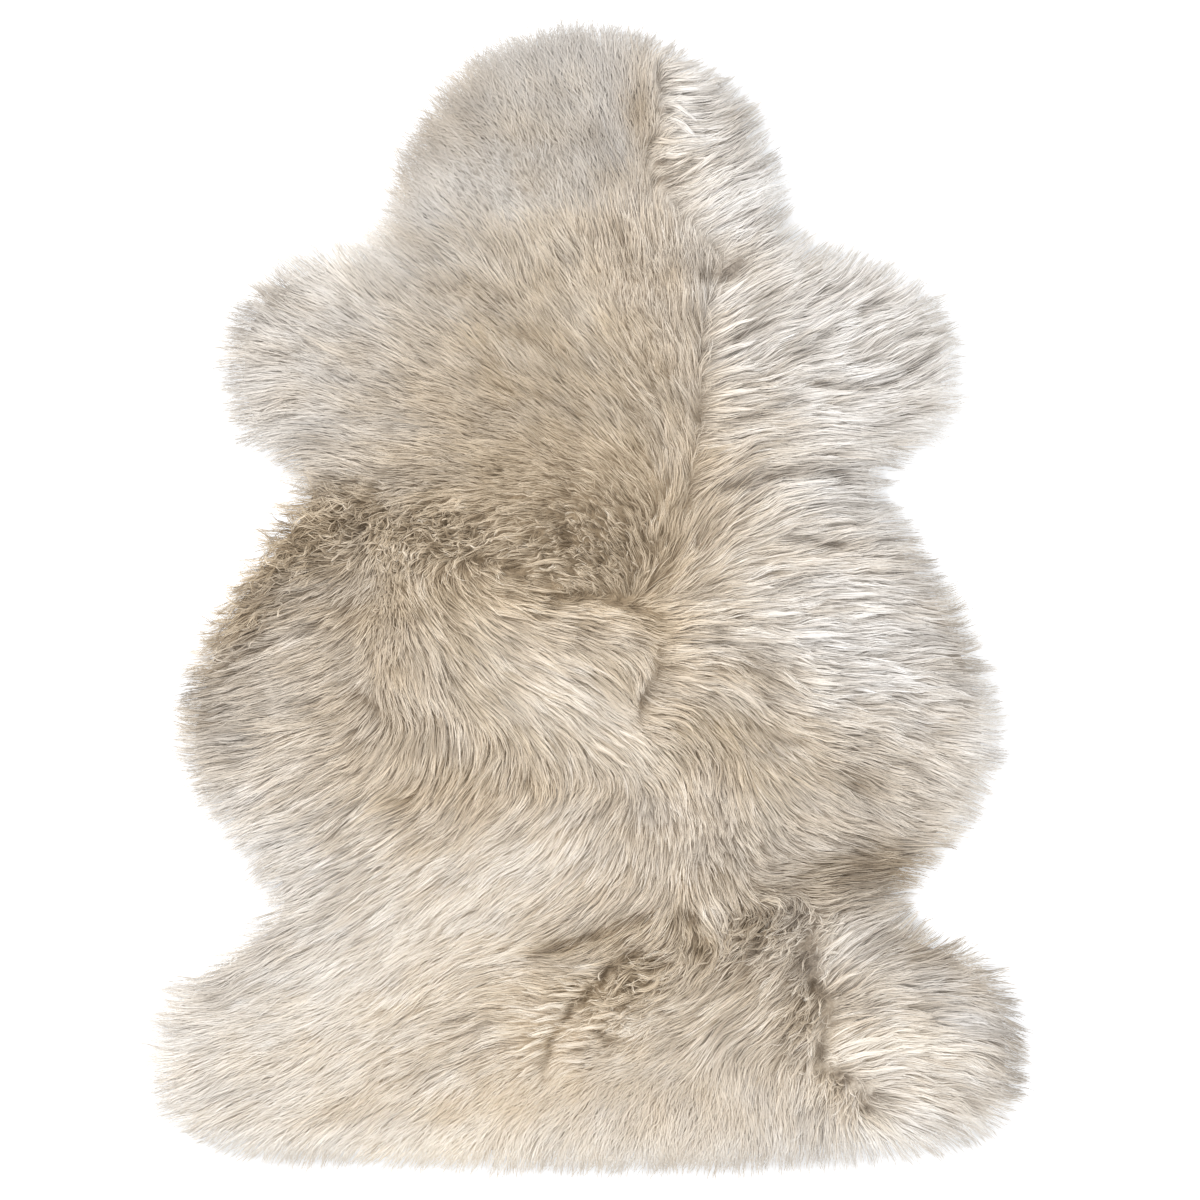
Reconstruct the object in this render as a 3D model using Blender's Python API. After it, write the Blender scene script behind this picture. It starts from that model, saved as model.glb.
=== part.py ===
"""A sheepskin rug: one whole pelt with its long wool on, laid flat on the floor, wool side up.

The head lies towards +Y, the rump towards -Y, and the floor is at z = 0. The solid is the
room that the pelt and its wool fill: flat below, rounded at the rim where the wool falls to
the floor, and furrowed on top where the wool parts.
"""

import math
from collections import namedtuple

import bmesh
import bpy
from mathutils import Vector

MM = 0.001

# Driving sizes, in millimetres.
PILE_HEIGHT = 42        # height of the laid-over wool above the floor
RIM_WIDTH = 46          # distance from the edge at which the wool has that height
RIM_RINGS = 4           # steps in the round of the rim
FOOT_TUCK = 6           # how far the wool draws in under the rim to its foot
FOOT_HEIGHT = 4         # height of the lowest wool tips at the rim
EDGE_HEIGHT = 9         # height at which the round of the rim starts
GRID = 26               # spacing of the lines that the top is divided along
GRID_REACH = 494        # how far the lines go out from the middle
CURVE_STEPS = 5         # straight lengths between two edge points of the outline
WELD = 0.1              # distance under which two corners are one

WOOL_COLOUR = (0.78, 0.73, 0.66, 1.0)
WOOL_ROUGHNESS = 0.9

# Sections across the pelt from the crown to the rump: the place along the spine, and the
# left and right edge of the wool there.
Section = namedtuple("Section", "place y left right")
SECTIONS = [
    Section("crown", 475, -19, 19),
    Section("forehead", 455, -89, 81),
    Section("ears", 415, -127, 131),
    Section("cheeks", 353, -159, 160),
    Section("neck", 304, -180, 173),
    Section("shoulder top", 281, -247, 243),
    Section("shoulder", 249, -287, 290),
    Section("foreleg", 196, -303, 310),
    Section("foreleg end", 139, -291, 296),
    Section("armpit", 117, -273, 277),
    Section("waist", 100, -246, 247),
    Section("ribs", 51, -272, 272),
    Section("flank", -14, -314, 312),
    Section("belly top", -74, -336, 336),
    Section("belly", -124, -343, 343),
    Section("belly end", -179, -318, 322),
    Section("groin", -225, -281, 285),
    Section("loin", -251, -269, 262),
    Section("haunch top", -289, -305, 318),
    Section("haunch", -324, -342, 350),
    Section("hind leg", -377, -363, 363),
    Section("hind leg end", -431, -352, 349),
    Section("rump corner", -460, -303, 295),
    Section("rump", -470, -222, 213),
]

# Furrows, where the wool parts and lies away to both sides: a line, and how wide and deep.
Furrow = namedtuple("Furrow", "place x1 y1 x2 y2 width depth")
FURROWS = [
    Furrow("head parting", 51, 425, 53, 346, 16, 9),
    Furrow("neck parting", 53, 346, 114, 270, 18, 10),
    Furrow("shoulder parting", 114, 270, 93, 149, 16, 7),
    Furrow("back parting", 93, 149, 55, -1, 16, 6),
    Furrow("waist hollow", -242, 63, -147, 57, 34, 9),
    Furrow("whorl", 3, 11, 55, -7, 24, 8),
    Furrow("belly seam", 55, -43, 30, -110, 16, 6),
    Furrow("loin hollow", 168, -249, 271, -245, 26, 9),
    Furrow("rump furrow", 59, -265, -49, -294, 20, 8),
    Furrow("tail parting", 9, -302, -33, -378, 18, 10),
    Furrow("leg parting", 181, -277, 218, -399, 16, 10),
]

# Swells, where the wool is thickest and stands highest: a centre, and how wide and high.
Swell = namedtuple("Swell", "place x y width height")
SWELLS = [
    Swell("brow", -57, 381, 90, 3),
    Swell("left shoulder", -187, 191, 80, 3),
    Swell("right shoulder", 198, 216, 75, 4),
    Swell("middle", -17, -89, 75, 4),
    Swell("right belly", 223, -89, 85, 4),
    Swell("left haunch", -147, -329, 110, 3),
    Swell("right haunch", 278, -344, 55, 4),
]


def clear_scene():
    for obj in list(bpy.data.objects):
        bpy.data.objects.remove(obj)


def wool_material():
    material = bpy.data.materials.new("wool")
    material.use_nodes = True
    shader = material.node_tree.nodes["Principled BSDF"]
    shader.inputs["Base Color"].default_value = WOOL_COLOUR
    shader.inputs["Roughness"].default_value = WOOL_ROUGHNESS
    shader.inputs["Metallic"].default_value = 0.0
    return material


def outline_curve():
    """The outline as a smooth flat curve: down the right ends of the sections, up the left."""
    ends = [(row.right, row.y) for row in SECTIONS]
    ends += [(row.left, row.y) for row in reversed(SECTIONS)]
    curve = bpy.data.curves.new("outline", "CURVE")
    curve.dimensions = "2D"
    curve.fill_mode = "BOTH"
    curve.resolution_u = CURVE_STEPS
    spline = curve.splines.new("BEZIER")
    spline.bezier_points.add(len(ends) - 1)
    spline.use_cyclic_u = True
    for point, (x, y) in zip(spline.bezier_points, ends):
        point.co = (x * MM, y * MM, 0)
        point.handle_left_type = point.handle_right_type = "AUTO"
    outline = bpy.data.objects.new("outline", curve)
    bpy.context.scene.collection.objects.link(outline)
    return outline


def underside(bm):
    """Fill the outline with one flat face that looks down."""
    outline = outline_curve()
    graph = bpy.context.evaluated_depsgraph_get()
    filled = bpy.data.meshes.new_from_object(outline.evaluated_get(graph))
    bpy.data.objects.remove(outline)
    bm.from_mesh(filled)
    bpy.data.meshes.remove(filled)
    bmesh.ops.remove_doubles(bm, verts=bm.verts, dist=WELD * MM)
    bmesh.ops.dissolve_edges(bm, edges=[edge for edge in bm.edges if not edge.is_boundary])
    [face] = bm.faces
    if face.normal.z > 0:
        face.normal_flip()
    return face


def raise_walls(bm, below):
    """Lift a copy of the underside to the rim's edge, and chamfer the foot under it."""
    lifted = bmesh.ops.extrude_face_region(bm, geom=[below], use_keep_orig=True)["geom"]
    above = next(item for item in lifted if isinstance(item, bmesh.types.BMFace))
    for vert in above.verts:
        vert.co.z = EDGE_HEIGHT * MM
    ring = bmesh.ops.inset_region(bm, faces=[below], thickness=FOOT_TUCK * MM, use_even_offset=True)
    for vert in {corner for face in ring["faces"] for corner in face.verts} - set(below.verts):
        vert.co.z = FOOT_HEIGHT * MM
    return above


def round_rim(bm, above):
    """Step the top inwards and upwards in rings that follow a quarter of an ellipse."""
    reached = 0
    for ring in range(1, RIM_RINGS + 1):
        angle = math.pi / 2 * ring / RIM_RINGS
        inward = RIM_WIDTH * (1 - math.cos(angle))
        bmesh.ops.inset_region(bm, faces=[above], thickness=(inward - reached) * MM, use_even_offset=True)
        reached = inward
        for vert in above.verts:
            vert.co.z = (EDGE_HEIGHT + (PILE_HEIGHT - EDGE_HEIGHT) * math.sin(angle)) * MM


def divide_top(bm, above):
    """Cut the flat top along a grid of lines, to give the furrows something to bend."""
    region = [above, *above.edges, *above.verts]
    for across in (Vector((1, 0, 0)), Vector((0, 1, 0))):
        for place in range(-GRID_REACH, GRID_REACH + 1, GRID):
            cut = bmesh.ops.bisect_plane(bm, geom=region, plane_co=across * place * MM, plane_no=across)
            region = cut["geom"]


def distance_to_line(x, y, row):
    along = Vector((row.x2 - row.x1, row.y2 - row.y1))
    offset = Vector((x - row.x1, y - row.y1))
    share = min(max(offset.dot(along) / along.length_squared, 0), 1)
    return (offset - share * along).length


def unevenness(x, y):
    """What the furrows and swells add to the height at a place."""
    height = 0
    for row in FURROWS:
        height -= row.depth * math.exp(-((distance_to_line(x, y, row) / row.width) ** 2))
    for row in SWELLS:
        height += row.height * math.exp(-((math.hypot(x - row.x, y - row.y) / row.width) ** 2))
    return height


def furrow_top(bm):
    for vert in bm.verts:
        if vert.co.z > EDGE_HEIGHT * MM:
            vert.co.z *= 1 + unevenness(vert.co.x / MM, vert.co.y / MM) / PILE_HEIGHT


def sheepskin(collection):
    bm = bmesh.new()
    below = underside(bm)
    above = raise_walls(bm, below)
    round_rim(bm, above)
    divide_top(bm, above)
    furrow_top(bm)
    bmesh.ops.recalc_face_normals(bm, faces=bm.faces)
    mesh = bpy.data.meshes.new("sheepskin")
    bm.to_mesh(mesh)
    bm.free()
    mesh.shade_smooth()
    mesh.materials.append(wool_material())
    rug = bpy.data.objects.new("sheepskin", mesh)
    collection.objects.link(rug)


clear_scene()
parts = bpy.data.collections.new("Sheepskin rug")
bpy.context.scene.collection.children.link(parts)
sheepskin(parts)
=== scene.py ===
"""A sheepskin rug laid flat with its wool up: the suede hide, the underwool and the long combed wool."""

import math
from collections import namedtuple

import bmesh
import bpy
import numpy as np
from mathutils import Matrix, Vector, bvhtree, kdtree


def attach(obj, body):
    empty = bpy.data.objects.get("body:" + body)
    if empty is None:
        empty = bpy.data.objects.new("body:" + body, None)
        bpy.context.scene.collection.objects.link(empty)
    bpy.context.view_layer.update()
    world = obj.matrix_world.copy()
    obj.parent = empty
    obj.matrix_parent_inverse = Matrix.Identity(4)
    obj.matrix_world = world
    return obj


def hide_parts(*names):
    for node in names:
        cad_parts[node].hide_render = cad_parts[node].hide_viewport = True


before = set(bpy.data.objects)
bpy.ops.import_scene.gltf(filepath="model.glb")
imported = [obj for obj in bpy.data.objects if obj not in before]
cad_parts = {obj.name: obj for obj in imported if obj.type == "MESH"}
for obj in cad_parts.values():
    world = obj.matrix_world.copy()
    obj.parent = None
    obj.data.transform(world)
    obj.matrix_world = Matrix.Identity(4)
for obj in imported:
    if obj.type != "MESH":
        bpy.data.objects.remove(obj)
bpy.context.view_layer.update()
MM = 0.001


# ---------------------------------------------------------------------------------------------
# The hide: one tanned pelt, its flesh side down and buffed to suede. Its edge lies inside the
# edge of the wool, which falls over it to the floor all round.
# ---------------------------------------------------------------------------------------------
HIDE_INSET = 20           # how far the hide's edge lies inside the edge of the wool
HIDE_THICKNESS = 2.0
HIDE_EDGE_STEP = 9        # spacing of the corners along the hide's edge
HIDE_EDGE_ROUND = 0.5     # how far its cut edges are rounded
HIDE_PANEL = 40           # spacing of the lines that divide its faces
HIDE_REACH = 480          # how far those lines go out from the middle
LEVEL_OF_OUTLINE = 6      # height at which the wool's solid is widest
SAME_CORNER = 0.01        # distance under which two corners of the solid are one
OUTLINE_CORNER = 0.5      # the same for the corners of its outline
ON_OUTLINE, ON_PANEL = 0.001, 0.1       # distance under which a corner lies on such a cut
DRAW_STEPS = 40           # steps in which an outline is drawn in
DRAW_STEP = 2             # the furthest that a corner of it moves in one of them
MAP_STEP = 4              # spacing of the places at which distances and heights are kept
MAP_REACH = (420, 536)    # how far the map goes out from the middle, across and along


def merged_solid():
    """The wool's solid in the frame, with its doubled corners merged."""
    bm = bmesh.new()
    bm.from_mesh(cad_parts["sheepskin"].data)
    bmesh.ops.remove_doubles(bm, verts=bm.verts, dist=SAME_CORNER * MM)
    return bm


def mesh_of(bm, name):
    mesh = bpy.data.meshes.new(name)
    bm.to_mesh(mesh)
    bm.free()
    return mesh


def placed(name, data):
    """A new object in the scene."""
    new = bpy.data.objects.new(name, data)
    bpy.context.scene.collection.objects.link(new)
    return new


def wool_outline():
    """The corners of the wool's outline in order: a level cut through its solid."""
    bm = merged_solid()
    bmesh.ops.bisect_plane(
        bm,
        geom=[*bm.verts, *bm.edges, *bm.faces],
        dist=ON_OUTLINE * MM,
        plane_co=(0, 0, LEVEL_OF_OUTLINE * MM),
        plane_no=(0, 0, 1),
        clear_inner=True,
        clear_outer=True,
    )
    bmesh.ops.remove_doubles(bm, verts=bm.verts, dist=OUTLINE_CORNER * MM)
    bm.verts.ensure_lookup_table()
    here, before, corners = bm.verts[0], None, []
    while here not in corners[:1]:
        corners.append(here)
        ahead = [edge.other_vert(here) for edge in here.link_edges]
        here, before = next(vert for vert in ahead if vert is not before), here
    outline = np.array([vert.co.xy for vert in corners]) / MM
    bm.free()
    return outline


def distance_to_lines(points, lines):
    """How far each point lies from the nearest of some straight lines."""
    nearest = np.full(len(points), np.inf)
    for start, end in lines:
        along = end - start
        share = np.clip((points - start) @ along / (along @ along), 0, 1)
        away = points - start - share[:, None] * along
        nearest = np.minimum(nearest, np.hypot(away[:, 0], away[:, 1]))
    return nearest


def inside(points, lines):
    """Whether each point lies inside an outline, by how often a line to the right crosses it."""
    within = np.zeros(len(points), bool)
    for (x1, y1), (x2, y2) in lines:
        spans = (y1 > points[:, 1]) != (y2 > points[:, 1])
        crossing = x1 + (points[:, 1] - y1) * (x2 - x1) / (y2 - y1 if y2 != y1 else 1)
        within ^= spans & (points[:, 0] < crossing)
    return within


class Map:
    """A value at every place of the rug, kept on an even grid and read between its points."""

    across = np.arange(-MAP_REACH[0], MAP_REACH[0] + 1, MAP_STEP)
    along = np.arange(-MAP_REACH[1], MAP_REACH[1] + 1, MAP_STEP)
    places = np.stack(np.meshgrid(across, along, indexing="ij"), -1).reshape(-1, 2).astype(float)

    def __init__(self, values):
        self.values = np.reshape(values, (len(self.across), len(self.along), -1))

    def at(self, points):
        cell = (points + np.array(MAP_REACH)) / MAP_STEP
        cell = np.clip(cell, 0, np.array(self.values.shape[:2]) - 1.001)
        low = cell.astype(int)
        (x, y), (u, v) = low.T, (cell - low).T[:, :, None]
        rows = self.values
        nearer = rows[x, y] * (1 - u) + rows[x + 1, y] * u
        return nearer * (1 - v) + (rows[x, y + 1] * (1 - u) + rows[x + 1, y + 1] * u) * v


outline = wool_outline()
outline_lines = np.stack([outline, np.roll(outline, -1, 0)], 1)
depth = distance_to_lines(Map.places, outline_lines)
depth = np.where(inside(Map.places, outline_lines), depth, -depth)
edge_distance = Map(depth)      # how far a place lies inside the edge of the wool
inward = Map(np.stack(np.gradient(edge_distance.values[..., 0], MAP_STEP), -1))


def drawn_in(corners, distance):
    """The outline moved inwards until it lies the distance inside the edge of the wool."""
    corners = corners.copy()
    for _ in range(DRAW_STEPS):
        left = distance - edge_distance.at(corners)
        slope = inward.at(corners)
        slope /= np.maximum(np.hypot(*slope.T), 0.2)[:, None]
        corners += slope * np.clip(left, -DRAW_STEP, DRAW_STEP)
    closed = np.vstack([corners, corners[:1]])
    travelled = np.concatenate([[0], np.cumsum(np.hypot(*np.diff(closed, axis=0).T))])
    marks = np.linspace(0, travelled[-1], int(travelled[-1] / HIDE_EDGE_STEP), endpoint=False)
    return np.stack([np.interp(marks, travelled, closed[:, i]) for i in (0, 1)], -1)


def set_inputs(node, inputs):
    for name, value in inputs.items():
        node.inputs[name].default_value = value
    return node


def added(tree, kind, inputs=None):
    """A new shader node with some of its inputs set."""
    return set_inputs(tree.nodes.new("ShaderNode" + kind), inputs or {})


def wired(tree, *wires):
    """Lead one node's output to another's input, for each wire."""
    for source, output, target, entry in wires:
        tree.links.new(source.outputs[output], target.inputs[entry])


def new_material(name, inputs):
    """A new material, its node tree, and its shader with some of its inputs set."""
    material = bpy.data.materials.new(name)
    material.use_nodes = True
    tree = material.node_tree
    return material, tree, set_inputs(tree.nodes["Principled BSDF"], inputs)


def textured(tree, shader, grain, bump, gloss, rough):
    """Raise a surface by one pattern, and make it smoother or rougher by another."""
    raised = added(tree, "Bump", bump)
    dull = added(tree, "MapRange", {"To Min": rough[0], "To Max": rough[1]})
    wired(
        tree,
        (*grain, raised, "Height"),
        (raised, "Normal", shader, "Normal"),
        (*gloss, dull, "Value"),
        (dull, "Result", shader, "Roughness"),
    )


def suede():
    material, tree, shader = new_material("suede", {"Sheen Weight": 0.5, "Sheen Roughness": 0.5})
    place, tint = added(tree, "TexCoord"), added(tree, "ValToRGB")
    blotches = added(tree, "TexNoise", {"Scale": 9, "Detail": 5})
    nap = added(tree, "TexNoise", {"Scale": 900, "Detail": 6})
    dark, pale = tint.color_ramp.elements
    dark.position, dark.color = 0.32, (0.55, 0.46, 0.35, 1)
    pale.position, pale.color = 0.70, (0.74, 0.67, 0.56, 1)
    wired(
        tree,
        (place, "Object", blotches, "Vector"),
        (place, "Object", nap, "Vector"),
        (blotches, "Fac", tint, "Fac"),
        (tint, "Color", shader, "Base Color"),
    )
    bump = {"Distance": 0.0004, "Strength": 0.6}
    textured(tree, shader, (nap, "Fac"), bump, (nap, "Fac"), (0.8, 0.98))
    return material


def hide_mesh(edge):
    bm = bmesh.new()
    skin = bm.faces.new([bm.verts.new((x * MM, y * MM, 0)) for x, y in edge])
    if skin.normal.z > 0:
        skin.normal_flip()
    for across in (Vector((1, 0, 0)), Vector((0, 1, 0))):
        for place in range(-HIDE_REACH, HIDE_REACH + 1, HIDE_PANEL):
            bmesh.ops.bisect_plane(
                bm,
                geom=[*bm.verts, *bm.edges, *bm.faces],
                dist=ON_PANEL * MM,
                plane_co=across * place * MM,
                plane_no=across,
            )
    raised = bmesh.ops.extrude_face_region(bm, geom=list(bm.faces), use_keep_orig=True)["geom"]
    top = [item for item in raised if isinstance(item, bmesh.types.BMVert)]
    bmesh.ops.translate(bm, verts=top, vec=(0, 0, HIDE_THICKNESS * MM))
    bmesh.ops.recalc_face_normals(bm, faces=bm.faces)
    rim = [edge for edge in bm.edges if edge.is_manifold and edge.calc_face_angle() > 1]
    bmesh.ops.bevel(
        bm,
        geom=rim,
        offset=HIDE_EDGE_ROUND * MM,
        segments=2,
        profile=0.5,
        affect="EDGES",
        material=-1,
    )
    return mesh_of(bm, "hide")


hide_edge = drawn_in(outline, HIDE_INSET)
hide = placed("hide", hide_mesh(hide_edge))
hide.data.materials.append(suede())
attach(hide, "root")


# ---------------------------------------------------------------------------------------------
# The underwool: the short dense wool at the roots, matted by its crimp. It fills most of the
# pile, carries the long wool, and shows dark in the partings and under the rim; its colour is
# darkened throughout by painted shade.
# ---------------------------------------------------------------------------------------------
UNDERWOOL_SHARE = 0.74    # its height as a share of the whole pile's
UNDERWOOL_INSET = 16      # how far it stays inside the edge of the long wool
UNDERWOOL_CELL = 7        # size of the faces that it is divided into
UNDERWOOL_TUFT = 16       # size of its tufts
UNDERWOOL_TUFT_HEIGHT = 2
UNDERWOOL_RIM = 90        # how far inside the edge it starts to draw in
UNDERWOOL_FLAT = 30       # how far inside the edge its tufts have their height
UNDERWOOL_FOOT = 3        # height on the solid up to which a corner belongs to its foot
UNDERWOOL_LIFT = (0.3, 0.6)             # how far its foot, and at least its top, lie above the hide
# Painted shade: the underwool is darker still under tangled wool, and has less of it under soft wool.
BED_SHADE_IN_TANGLES = 0.18     # how much darker it is where the wool above it is tangled
BED_IN_SOFT_WOOL = 0.14   # how much lighter it is where the wool above it is soft

# Patches where the wool differs: a middle, half sizes along and across, the turn of the long
# side in degrees, and how much lighter, warmer, messier, shorter and softer the wool is there.
# The lightness is partly the wool's own tone and partly painted light and shade; the patches
# named shade are painted shade.
Patch = namedtuple("Patch", "place x y long wide turn light warm mess short soft", defaults=[0] * 4)
PATCHES = [
    Patch("left of the head", -50, 390, 95, 70, 40, -0.1, -0.08, 0, 0.5, 1.2),
    Patch("left ear", -112, 400, 50, 28, 60, -0.24, 0.15, 0, 0.2, 0.5),
    Patch("left cheek", -150, 350, 60, 26, 80, -0.2, 0.1, 0, 0.1, 0.3),
    Patch("crown", -20, 455, 95, 30, 5, -0.165, -0.25, 0, 0, 0.4),
    Patch("brow", 44, 405, 36, 12, 90, -0.19, 0.45, 0, 0.3, 0.9),
    Patch("middle of the head", 10, 366, 50, 28, 80, -0.11, -0.3),
    Patch("right of the head", 80, 398, 50, 22, 88, 0.17, -0.3, 0, 0, -0.3),
    Patch("right ear", 122, 380, 36, 16, 125, -0.16, -0.2, 0, 0, -0.1),
    Patch("right of the neck", 126, 326, 50, 30, 40, 0.19, -0.5, 0, 0, -0.3),
    Patch("neck shade", 88, 280, 38, 18, 15, -0.16, 0.15, 0.3, 0.4, 0.7),
    Patch("left of the neck", -150, 288, 50, 24, 40, -0.1, -0.1, 0, 0.2, 0.3),
    Patch("below the left cheek", -98, 300, 34, 22, 0, -0.1),
    Patch("neck", -54, 334, 80, 32, 0, 0.08, -0.3, 0, 0.4, 1.1),
    Patch("nape", 10, 250, 50, 24, 0, 0.06, -0.1, 0, 0.3, 0.4),
    Patch("between the shoulders", -110, 250, 70, 26, -10, -0.08, 0, 0, 0.3, 0.3),
    Patch("right shoulder", 200, 200, 105, 75, 20, 0.12, -0.5, 0, -0.1, -0.2),
    Patch("above the right shoulder", 190, 252, 60, 18, 10, -0.08),
    Patch("right foreleg", 190, 152, 50, 16, 0, 0.1),
    Patch("right foreleg end", 298, 150, 26, 24, 0, 0.14),
    Patch("right of the back parting", 118, 195, 60, 16, 90, 0.09, -0.2, 0, 0, -0.3),
    Patch("left of the back parting", 58, 200, 90, 32, 100, -0.02, 0.1, 0.15, 0.45, 0.2),
    Patch("right armpit", 215, 85, 70, 24, 0, -0.06, -0.4, 0, 0, -0.1),
    Patch("left shoulder", -215, 200, 70, 60, 0, -0.04, -0.25, 0, 0.25, 0.35),
    Patch("left shoulder rim", -290, 195, 70, 18, 90, -0.17),
    Patch("left foreleg end", -263, 249, 44, 19, 41, -0.25),
    Patch("left armpit", -250, 126, 40, 26, 0, -0.12, -0.1, 0, 0.1, 0.2),
    Patch("back", -60, 155, 110, 90, 0, -0.11, 0.12, 0, 0.3, 0.4),
    Patch("left of the back", -125, 96, 46, 24, 0, -0.07, 0.1, 0, 0.2, 0.2),
    Patch("back hollow", 0, 72, 70, 46, 0, -0.02, 0.65, 0.3, 0.4),
    Patch("waist tangle", -228, 58, 62, 34, 24, -0.34, 0.8, 0.9, 0.3, -0.1),
    Patch("flank", -284, -8, 66, 26, 62, -0.25, 0.6, 0.6, 0.1, -0.1),
    Patch("left belly rim", -320, -94, 50, 34, 85, -0.27, 0.1),
    Patch("rib tangle", -130, 52, 50, 26, 0, -0.12, 0.45, 0.9, 0.3, -0.1),
    Patch("ribs", -195, -8, 90, 34, 12, -0.13, 0.25, 0.1, 0.2),
    Patch("below the ribs", -210, -88, 60, 40, 0, -0.1, 0, 0, 0.1, 0.1),
    Patch("side", -168, -10, 60, 20, 90, 0, 0.1, 0.3, 0.5, 0.8),
    Patch("left of the middle", -66, 14, 60, 28, 0, 0.03, 0.35, 0.1, 0.2, -0.4),
    Patch("whorl", 4, 34, 56, 32, -15, -0.07, 0.8, 0.4, 0.4, -0.2),
    Patch("above the whorl", 50, 54, 22, 24, 0, -0.09),
    Patch("beside the whorl", 56, -20, 26, 34, 0, -0.04, 0.3, 0, 0.2),
    Patch("middle bright", -15, -88, 70, 26, -35, 0.14, -0.2, 0, 0, -0.1),
    Patch("right of the middle", 150, -20, 80, 60, 0, 0.17, -0.35, 0, 0, -0.3),
    Patch("fan shade", 142, -60, 40, 14, -14, -0.16, 0.2),
    Patch("right flank", 218, -60, 70, 60, 0, 0.1, -0.42, 0, 0, -0.3),
    Patch("right waist", 165, 76, 50, 24, 10, 0.08, 0, 0, 0, -0.2),
    Patch("right flank rim", 296, -10, 80, 22, 105, -0.19, 0.15),
    Patch("belly", -100, -150, 100, 30, 0, -0.04, 0.2, 0, 0.3, 0.1),
    Patch("right belly", 100, -110, 50, 34, 0, -0.1, 0.2, 0, 0.35, 0.1),
    Patch("right belly shade", 228, -150, 44, 26, -20, -0.18, 0.05, 0.1, 0.1, 0.1),
    Patch("right belly tip", 330, -105, 50, 20, 90, 0.08, -0.2),
    Patch("below the belly", 70, -185, 75, 40, 0, 0.05, -0.1, 0, 0.45, 0.2),
    Patch("above the loin", 18, -172, 46, 30, 0, -0.1),
    Patch("right groin", 135, -205, 50, 34, 0, -0.06, -0.15, 0.1, 0.3, 0.1),
    Patch("right groin rim", 300, -198, 30, 22, 40, 0.12),
    Patch("groin shade", 238, -222, 66, 28, 8, -0.37, 0.5, 0.1),
    Patch("left groin", -80, -230, 140, 46, 30, 0.15, -0.22, 0, 0.1, 0.1),
    Patch("left of the loin", -78, -300, 46, 22, 20, 0.1),
    Patch("left groin rim", -230, -205, 70, 40, 0, 0.03, -0.1),
    Patch("loin tangle", 138, -275, 60, 28, 8, -0.1, 0.12, 0.7, 0.35, -0.1),
    Patch("right of the loin", 207, -288, 28, 18, 40, 0.17, -0.2),
    Patch("loin light", 102, -258, 18, 12, 60, 0.22, -0.1),
    Patch("rump furrow", 14, -276, 66, 10, 18, -0.14, 0.25, 0.2, 0.2),
    Patch("tail tangle", 30, -316, 46, 20, 30, -0.05, 0.45, 0.7, 0.4, -0.4),
    Patch("left of the tail", -40, -348, 32, 32, 0, 0.18, 0.25, 0, 0.2, -0.4),
    Patch("right of the tail", 28, -352, 46, 22, 20, 0.11, 0.1, 0.35, 0.4),
    Patch("left haunch", -220, -350, 160, 80, 20, 0.13, 0, 0, 0.1, 0.35),
    Patch("left haunch shade", -185, -408, 60, 24, 15, -0.01, 0.3, 0, 0.1, 0.2),
    Patch("above the left haunch", -278, -300, 70, 30, 30, -0.17),
    Patch("left of the rump", -70, -414, 80, 34, 20, 0.06, 0.5, 0, 0.2, 0.5),
    Patch("rump rim", -150, -460, 230, 26, 0, 0.12, 0.3, 0, 0, 0.3),
    Patch("right rump corner", 255, -450, 50, 26, 10, 0.14),
    Patch("rump", 75, -420, 85, 44, 0, -0.04, 0.25, 0, 0.5, 1.2),
    Patch("right haunch rim", 282, -290, 56, 24, 160, -0.21, 0.25),
    Patch("leg tangle", 178, -338, 44, 18, 80, -0.11, 0.2, 0.6, 0.3),
    Patch("foot tangle", 204, -406, 32, 11, -38, 0, 0.4, 0.5, 0.5),
    Patch("right foot bright", 236, -368, 54, 22, 8, 0.27, 0.1, 0, 0, -0.2),
    Patch("right foot shade", 305, -345, 40, 18, 150, -0.04, -0.3),
    Patch("right foot rim", 352, -364, 54, 16, 100, -0.27, 0.4),
    Patch("right foot", 290, -388, 56, 40, 0, 0.12, 0, 0, 0, -0.1),
]
RIM_TONE_REACH = 150      # how far inside the edge the rim's tone reaches
FRINGE_REACH = 14         # how far inside the edge the fringe starts
MOTTLE_SIZE = 44          # size of the wool's uneven tone

# How light and how warm the wool is well inside and at the rim, what the fringe adds, and the
# strength and seed of its uneven tone.
Tone = namedtuple("Tone", "inside rim fringe mottle seed")
LIGHT = Tone(0.647, 0.765, -0.06, 0.03, 41)
WARM = Tone(0.72, 0.1, -0.25, 0.09, 43)

# Partings, from which the wool lies away or at which it ends, and creases between the locks: how
# wide and dark they are, and their corners. Their darkness is painted shade in the crevices.
Crease = namedtuple("Crease", "width dark corners")
PARTINGS = {
    "head": Crease(3, 0.16, [(58, 442), (58, 383), (46, 370), (52, 345)]),
    "neck": Crease(3, 0.05, [(52, 345), (74, 322), (112, 278)]),
    "back": Crease(4, 0.06, [(112, 278), (98, 240), (93, 215), (96, 176), (93, 150), (80, 75)]),
    "middle": Crease(3, 0.3, [(-95, 34), (-58, 22), (-45, 6), (-20, 1), (18, 0), (38, -10), (56, -16)]),
    "belly": Crease(3.5, 0.1, [(58, -36), (56, -60), (49, -76), (42, -90), (38, -101)]),
    "side": Crease(3, 0.14, [(-192, -76), (-176, -88), (-160, -106)]),
    "leg": Crease(4, 0.2, [(182, -282), (186, -322), (200, -335), (198, -355), (192, -372)]),
    "foot": Crease(
        3.5, 0.42, [(192, -372), (190, -384), (206, -394), (222, -401), (230, -409), (229, -421)]
    ),
    "tail": Crease(
        2.5,
        0.38,
        [
            (43, -288), (30, -299), (16, -304), (11, -319), (2, -323), (-3, -332), (-14, -338),
            (-16, -347), (-24, -351), (-26, -360), (-34, -365), (-30, -376), (-37, -384), (-34, -396),
        ],
    ),
}
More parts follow.
